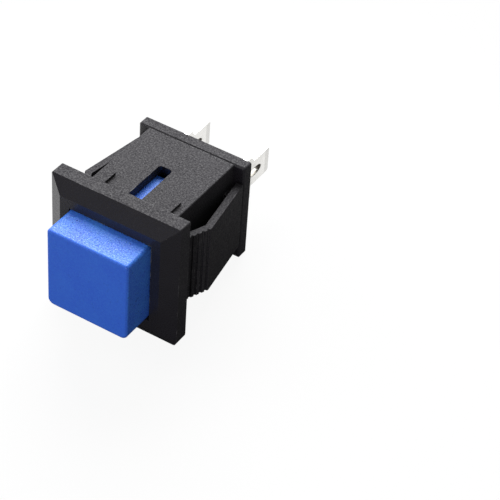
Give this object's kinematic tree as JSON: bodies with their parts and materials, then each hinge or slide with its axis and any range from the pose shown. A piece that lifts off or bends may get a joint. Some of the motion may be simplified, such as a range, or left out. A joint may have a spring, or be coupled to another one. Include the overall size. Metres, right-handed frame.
{
  "type": "pushbutton switch",
  "caption": "Square momentary panel switch: blue push button in a bevelled black bezel, box body with snap wings, rear flange and blade terminals.",
  "frame": {"origin": "centre of the bezel's rear face, in the plane that seats on the panel", "axes": "+Y from the button through the panel to the terminals, +Z to the upper slotted face, +X across the snap wings"},
  "size_m": [0.0164, 0.0295, 0.0164],
  "materials": {
    "housing": "fine spark-eroded mould texture, satin black",
    "button": "fine grained mid blue",
    "base": "fine spark-eroded mould texture, satin black",
    "terminals": "bright tin plating on stamped brass",
    "contacts": "silver alloy",
    "bridge": "stamped strip",
    "springs": "drawn spring wire"
  },
  "bodies": {
    "switch_body": {"housing": "housing", "base": "base", "terminal_left": "terminals", "terminal_right": "terminals", "fixed_contact_left": "contacts", "fixed_contact_right": "contacts", "return_spring": "springs"},
    "button": {"push_button": "button", "contact_spring": "springs"},
    "bridge": {"contact_bridge": "bridge", "bridge_contact_left": "contacts", "bridge_contact_right": "contacts"}
  },
  "joints": [
    {"name": "button_press", "type": "slide", "parent": "switch_body", "child": "button", "axis": [0, 1, 0], "range_m": [0, 0.0022], "stiffness_N_per_m": 400, "springref_m": -0.0025, "deforming": ["return_spring"]},
    {"name": "bridge_float", "type": "slide", "parent": "button", "child": "bridge", "axis": [0, 1, 0], "range_m": [-0.00074, 0], "deforming": ["contact_spring"]}
  ],
  "couplings": [
    {"joint": "bridge_float", "follows": "button_press", "ratio": -0.33}
  ]
}
